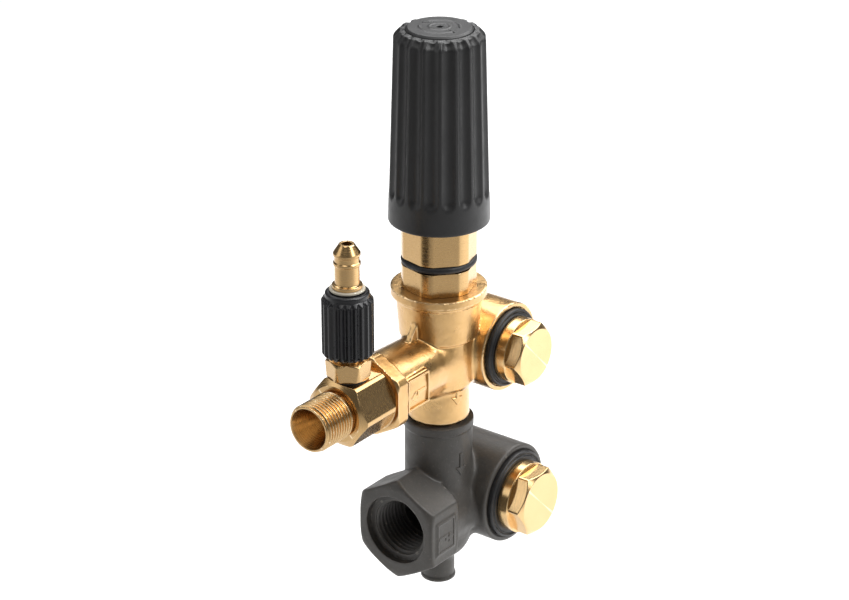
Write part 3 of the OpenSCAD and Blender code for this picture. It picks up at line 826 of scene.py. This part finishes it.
def cap_marks(th, T, R, NT, NR):
    """raised turning marks on the cap: a ring in two arcs with arrow ends"""
    a = np.degrees(np.mod(th, 2 * math.pi))
    top = NT > 0.6
    ring = np.exp(-(((R - 6.6) / 0.34) ** 4))
    arc = ((a > 25) & (a < 165)) | ((a > 205) & (a < 345))
    hd = np.zeros_like(R + th)
    for c, s in ((165, 1), (345, 1)):
        da = (a - c) * math.pi / 180 * 6.6 * s
        da = np.where(da > 20, da - 2 * math.pi * 6.6, da)
        hd = np.maximum(hd, ((da > -0.2) & (da < 2.2) & (np.abs(R - 6.6) < (2.2 - da) * 0.62)) * 1.0)
    h = np.maximum(ring * arc, hd) * 0.22
    r2 = np.exp(-(((R - 3.4) / 0.3) ** 4)) * 0.16
    h = np.where(top & (R < 9), np.maximum(h, r2), 0)
    return T + h, R


prof = outline([(104, 0), (104, 8.15, 0.3), (112.03, 8.15), (112.03, 11.15, 0.2), (117.3, 11.2, 0.5), (117.95, 10.5, 0.3), (117.98, 1.3, 0.05), (117.8, 1.05, 0.1), (115.6, 0.9, 0.1), (115.6, 0)], step=0.22, loop=False)
V, F = spin(prof, 360, cap_marks, loop=False)
build("visual_knob_cap", V, F, frame_z(), "knob", ["knob_cap"], M_KNOB, 40)

# ------------------------------------------------------------------ materials for the hidden nodes that stay as CAD
for name, mat in dict(
    bonnet_seal=M_RUB, rod_seal=M_RUB, seat_ring=M_RUB, spigot_ring_upper=M_RUB, spigot_ring_lower=M_RUB, check_seat_ring=M_RUB, injector_ring=M_RUB, nozzle_ring=M_RUB,
    rod_guide=M_TURN, spindle=M_TURN, knob_insert=M_TURN, throttle_sleeve=M_TURN, backup_ring=M_PALE,
    valve_seat=M_STEEL, check_seat=M_STEEL, check_spring=M_STEEL, poppet_guide=M_STEEL, venturi_nozzle=M_STEEL, ball_clip=M_STEEL, suction_spring=M_STEEL, main_spring=M_STEEL,
    upper_spring_plate=M_STEEL, knob_nut=M_STEEL, piston_rod=M_STEEL, lower_spring_plate=M_STEEL, plate_nut=M_STEEL, shutter_ball=M_STEEL, check_poppet=M_STEEL, suction_ball=M_STEEL,
).items():
    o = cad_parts[name]
    o.data.materials.clear()
    o.data.materials.append(mat)

# ------------------------------------------------------------------ floor, light, camera
FLOOR = AZ - 118 * MM
me = bpy.data.meshes.new("floor")
S = 6.0
me.from_pydata([(-S, -S, 0), (S, -S, 0), (S, S, 0), (-S, S, 0)], [], [[0, 1, 2, 3]])
floor = bpy.data.objects.new("floor", me)
bpy.context.scene.collection.objects.link(floor)
floor.location = (AX, AY, FLOOR)
fm = bpy.data.materials.new("floor")
fm.use_nodes = True
fm.node_tree.nodes["Principled BSDF"].inputs["Base Color"].default_value = (0.92, 0.92, 0.92, 1)
fm.node_tree.nodes["Principled BSDF"].inputs["Roughness"].default_value = 0.9
fm.node_tree.nodes["Principled BSDF"].inputs["Specular IOR Level"].default_value = 0.1
# the table is pale, with painted shade towards the camera, out of the picture: its colour turns a little greyer there
# so the brass reflects a dim front
ft = fm.node_tree
tc = ft.nodes.new("ShaderNodeTexCoord")
dot = ft.nodes.new("ShaderNodeVectorMath")
dot.operation = "DOT_PRODUCT"
dot.inputs[1].default_value = (math.sin(math.radians(37)), -math.cos(math.radians(37)), 0)
painted_shade_ramp = ft.nodes.new("ShaderNodeMapRange")
painted_shade_ramp.interpolation_type = "SMOOTHSTEP"
painted_shade_ramp.inputs["From Min"].default_value = 0.05
painted_shade_ramp.inputs["From Max"].default_value = 0.30
mix = ft.nodes.new("ShaderNodeMix")
mix.data_type = "RGBA"
mix.inputs[6].default_value = (0.92, 0.92, 0.92, 1)
# painted shade: the darker grey the floor takes towards the camera, a dim front for the brass to reflect
mix.inputs[7].default_value = (0.52, 0.52, 0.52, 1)
ft.links.new(tc.outputs["Object"], dot.inputs[0])
ft.links.new(dot.outputs["Value"], painted_shade_ramp.inputs["Value"])
ft.links.new(painted_shade_ramp.outputs["Result"], mix.inputs["Factor"])
ft.links.new(mix.outputs[2], ft.nodes["Principled BSDF"].inputs["Base Color"])
me.materials.append(fm)

az, el = math.radians(37), math.radians(24.5)
Fd = Vector((-math.sin(az) * math.cos(el), math.cos(az) * math.cos(el), -math.sin(el)))
Rd = Vector((math.cos(az), math.sin(az), 0))
Ud = Rd.cross(Fd)
FP, D = 2600.0, 2600.0 / 2.93 * MM
anchor = at(0, 0, 11.1)
C = anchor - (Rd * ((438.8 - 424.5) / FP * D) + Ud * (-(325.0 - 300.0) / FP * D) + Fd * D)
cd = bpy.data.cameras.new("cam")
cd.sensor_width = 36.0
cd.lens = FP / 849.0 * 36.0
cd.clip_end = 50
cam = bpy.data.objects.new("cam", cd)
bpy.context.scene.collection.objects.link(cam)
cam.matrix_world = Matrix(((Rd.x, Ud.x, -Fd.x, C.x), (Rd.y, Ud.y, -Fd.y, C.y), (Rd.z, Ud.z, -Fd.z, C.z), (0, 0, 0, 1)))
bpy.context.scene.camera = cam


def area(name, az_deg, el_deg, dist, size, power, color=(1, 1, 1), size_y=None):
    ld = bpy.data.lights.new(name, "AREA")
    ld.shape = "RECTANGLE"
    ld.size = size
    ld.size_y = size_y or size
    ld.energy = power
    ld.color = color
    o = bpy.data.objects.new(name, ld)
    bpy.context.scene.collection.objects.link(o)
    a, e = math.radians(az_deg), math.radians(el_deg)
    v = Vector((math.sin(a) * math.cos(e), -math.cos(a) * math.cos(e), math.sin(e)))
    o.location = at(0, 0, 10) + v * dist
    o.rotation_euler = (-v).to_track_quat("-Z", "Y").to_euler()
    return o


# azimuths run the same way as the camera's, which stands at 37
def panel(name, x, y, z, tx, ty, tz, sx, sy, power, color=(1, 1, 1)):
    """a soft box at (x, y, z) facing (tx, ty, tz), in mm of the barrel's frame"""
    ld = bpy.data.lights.new(name, "AREA")
    ld.shape = "RECTANGLE"
    ld.size, ld.size_y, ld.energy, ld.color = sx, sy, power, color
    o = bpy.data.objects.new(name, ld)
    bpy.context.scene.collection.objects.link(o)
    o.location = at(x, y, z)
    o.rotation_euler = (at(tx, ty, tz) - at(x, y, z)).to_track_quat("-Z", "Y").to_euler()
    return o


# the sheet of light over the back of the table, then the boxes round the front
panel("table_light", 60, 620, 620, 60, 619, -118, 1.2, 1.3, 19)
area("key_top", 10, 62, 1.1, 0.42, 1.3, (1, 0.99, 0.97))
area("left", -40, 20, 1.1, 0.55, 1.9, size_y=0.9)
area("right", 100, 34, 1.1, 0.35, 3.6, size_y=0.7)

w = bpy.data.worlds.new("studio")
bpy.context.scene.world = w
w.use_nodes = True
bg = w.node_tree.nodes["Background"]
bg.inputs["Color"].default_value = (1, 1, 1, 1)
bg.inputs["Strength"].default_value = 0.12
bpy.context.scene.view_settings.view_transform = "Standard"
bpy.context.scene.view_settings.look = "None"
